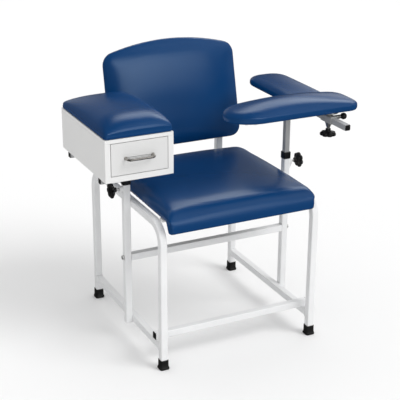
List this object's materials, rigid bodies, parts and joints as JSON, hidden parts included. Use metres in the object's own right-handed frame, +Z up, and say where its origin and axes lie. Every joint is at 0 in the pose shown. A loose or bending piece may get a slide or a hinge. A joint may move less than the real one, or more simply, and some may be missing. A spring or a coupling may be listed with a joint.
{
  "type": "phlebotomy chair",
  "caption": "Blood-draw chair: tube frame, upholstered seat and back, sliding drawer box with cushion on one side, height-adjustable two-pad swing arm on the other.",
  "frame": {"origin": "on the floor, below the middle of the chair's bounding box", "axes": "+Z up, +Y towards the chair's back, -Y the side the sitter faces, +X towards the two-pad arm (the sitter's left)"},
  "size_m": [0.8752, 0.7714, 1.0055],
  "materials": {
    "white_frame": "satin powder coat",
    "slide_steel": "drawn tube, satin",
    "zinc_hardware": "zinc plated",
    "handle_metal": "brushed nickel",
    "black_plastic": "moulded",
    "foot_rubber": "moulded",
    "blue_vinyl": "smooth coated upholstery, satin",
    "white_board": "white laminated board",
    "drawer_board": "light grey laminated board",
    "dark_board": "black-stained board"
  },
  "bodies": {
    "frame": {"left_side_frame": "white_frame", "right_side_frame": "white_frame", "lower_side_rails": "white_frame", "rubber_feet": "foot_rubber", "front_crossbar": "white_frame", "crossbar_plugs": "black_plastic", "middle_crossbar": "white_frame", "post_bolts": "zinc_hardware", "crossbar_nut_plates": "zinc_hardware", "left_post": "white_frame", "right_post": "white_frame", "post_clamp_nuts": "white_frame", "post_collars": "black_plastic", "seat_straps": "white_frame", "seat_board": "dark_board", "seat_screws": "zinc_hardware", "seat_cushion": "blue_vinyl", "rear_crossmember": "white_frame", "back_uprights": "white_frame", "upright_caps": "black_plastic", "back_cushion": "blue_vinyl", "back_board": "dark_board", "back_bolts": "zinc_hardware"},
    "left_arm": {"left_inner_tube": "slide_steel", "box_carrier_tube": "slide_steel", "box_cross_tubes": "slide_steel", "cross_tube_plugs": "black_plastic", "box_side_panels": "white_board", "box_base_panel": "white_board", "box_screws": "zinc_hardware", "box_top_panel": "white_board", "box_rear_panel": "white_board", "box_cushion_board": "dark_board", "box_cushion": "blue_vinyl", "runner_channels": "zinc_hardware"},
    "drawer": {"drawer_tray": "drawer_board", "runner_rails": "zinc_hardware", "drawer_front": "drawer_board", "drawer_handle": "handle_metal", "handle_screws": "zinc_hardware"},
    "right_arm": {"right_inner_tube": "slide_steel", "arm_tube": "slide_steel", "arm_tube_plugs": "black_plastic", "rear_arm_board": "dark_board", "rear_arm_pad": "blue_vinyl", "rear_pad_screws": "zinc_hardware"},
    "pad_carriage": {"arm_sleeve": "slide_steel", "sleeve_bosses": "zinc_hardware", "swing_pivot": "zinc_hardware"},
    "front_pad": {"swing_flange": "zinc_hardware", "flange_screws": "zinc_hardware", "front_arm_board": "dark_board", "front_arm_pad": "blue_vinyl"},
    "plunger": {"index_plunger": "black_plastic"},
    "left_clamp_stud": {"left_clamp_stud": "zinc_hardware"},
    "left_clamp_knob": {"left_star_knob": "black_plastic"},
    "right_clamp_stud": {"right_clamp_stud": "zinc_hardware"},
    "right_clamp_knob": {"right_star_knob": "black_plastic"},
    "sleeve_clamp_stud": {"sleeve_clamp_stud": "zinc_hardware"},
    "sleeve_clamp_knob": {"sleeve_star_knob": "black_plastic"}
  },
  "joints": [
    {"name": "left_arm_height", "type": "slide", "parent": "frame", "child": "left_arm", "axis": [0, 0, 1], "range_m": [-0.008, 0.14]},
    {"name": "drawer_slide", "type": "slide", "parent": "left_arm", "child": "drawer", "axis": [0, -1, 0], "range_m": [0, 0.28]},
    {"name": "right_arm_height", "type": "slide", "parent": "frame", "child": "right_arm", "axis": [0, 0, 1], "range_m": [-0.14, 0.04]},
    {"name": "pad_reach", "type": "slide", "parent": "right_arm", "child": "pad_carriage", "axis": [0, -1, 0], "range_m": [0, 0.08]},
    {"name": "front_pad_swing", "type": "hinge", "parent": "pad_carriage", "child": "front_pad", "pos_m": [0.33185, -0.26775, 0.855], "axis": [0, 0, 1], "range_deg": [0, 100]},
    {"name": "plunger_pull", "type": "slide", "parent": "pad_carriage", "child": "plunger", "axis": [1, 0, 0], "range_m": [0, 0.008], "stiffness_N_per_m": 900, "springref_m": -0.004},
    {"name": "left_stud_travel", "type": "slide", "parent": "frame", "child": "left_clamp_stud", "axis": [-1, 0, 0], "range_m": [0, 0.002]},
    {"name": "left_knob_turn", "type": "hinge", "parent": "left_clamp_stud", "child": "left_clamp_knob", "pos_m": [-0.34015, 0.00575, 0.585], "axis": [-1, 0, 0], "range_deg": [0, 578]},
    {"name": "right_stud_travel", "type": "slide", "parent": "frame", "child": "right_clamp_stud", "axis": [1, 0, 0], "range_m": [0, 0.002]},
    {"name": "right_knob_turn", "type": "hinge", "parent": "right_clamp_stud", "child": "right_clamp_knob", "pos_m": [0.36885, 0.00575, 0.585], "axis": [1, 0, 0], "range_deg": [0, 578]},
    {"name": "sleeve_stud_travel", "type": "slide", "parent": "pad_carriage", "child": "sleeve_clamp_stud", "axis": [0, 0, -1], "range_m": [0, 0.002]},
    {"name": "sleeve_knob_turn", "type": "hinge", "parent": "sleeve_clamp_stud", "child": "sleeve_clamp_knob", "pos_m": [0.33185, -0.26775, 0.793], "axis": [0, 0, -1], "range_deg": [0, 578]}
  ],
  "couplings": [
    {"joint": "left_knob_turn", "follows": "left_stud_travel", "rad_per_m": 5026.5},
    {"joint": "right_knob_turn", "follows": "right_stud_travel", "rad_per_m": 5026.5},
    {"joint": "sleeve_knob_turn", "follows": "sleeve_stud_travel", "rad_per_m": 5026.5}
  ]
}
